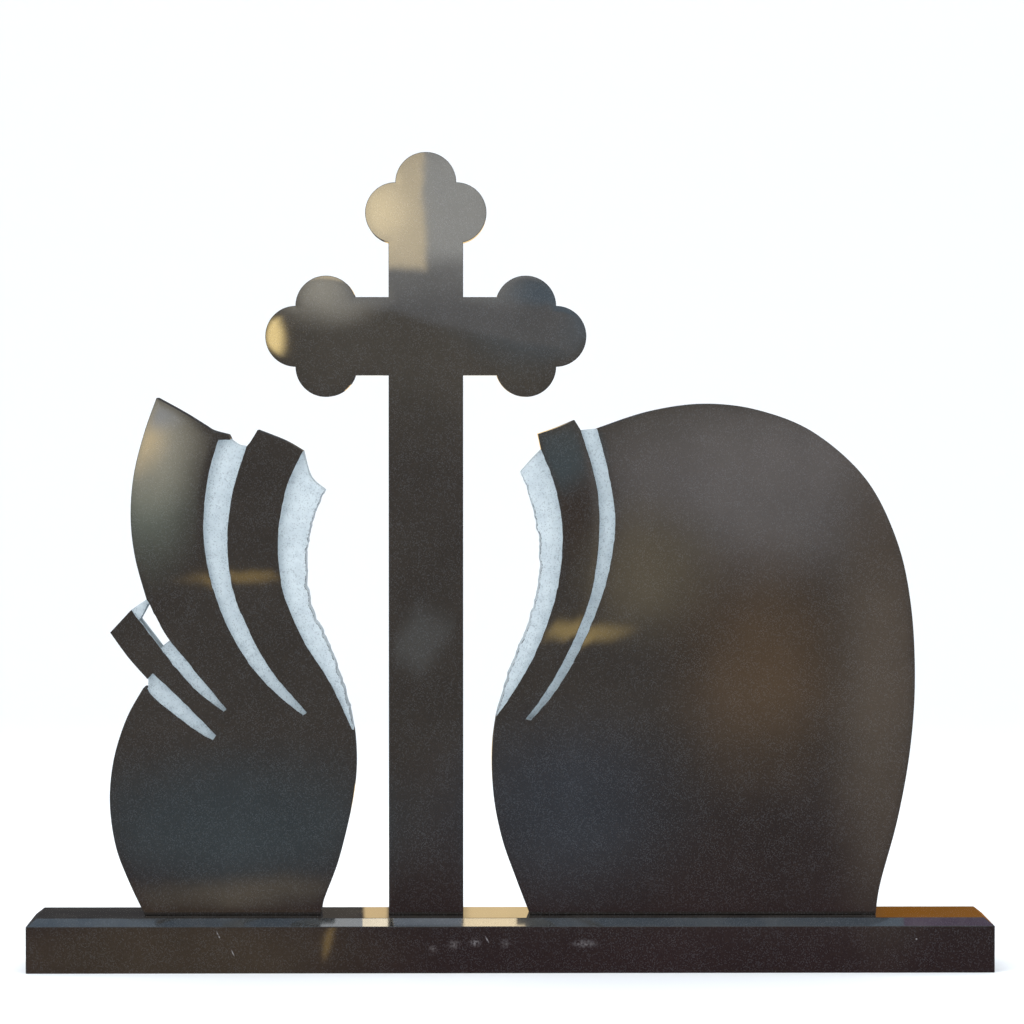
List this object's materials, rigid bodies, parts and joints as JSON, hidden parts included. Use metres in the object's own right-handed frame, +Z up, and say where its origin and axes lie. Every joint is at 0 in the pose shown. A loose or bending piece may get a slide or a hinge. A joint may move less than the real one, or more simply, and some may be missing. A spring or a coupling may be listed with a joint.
{
  "type": "headstone",
  "caption": "Double memorial of polished black stone: a chamfered base with a leaf-topped stele, a trefoil-ended cross and a broad round-topped stele, edged by hewn grooves.",
  "frame": {"origin": "middle of the base's underside", "axes": "+X to the right along the base, +Y to the back, +Z up"},
  "size_m": [1.6, 0.2, 1.3563],
  "materials": {
    "polished_granite": "polished black granite with fine crystals; the grooves and the steles' inner edges are hewn and pale"
  },
  "bodies": {
    "root": {"base": "polished_granite", "left_stele": "polished_granite", "cross": "polished_granite", "right_stele": "polished_granite"}
  },
  "joints": []
}
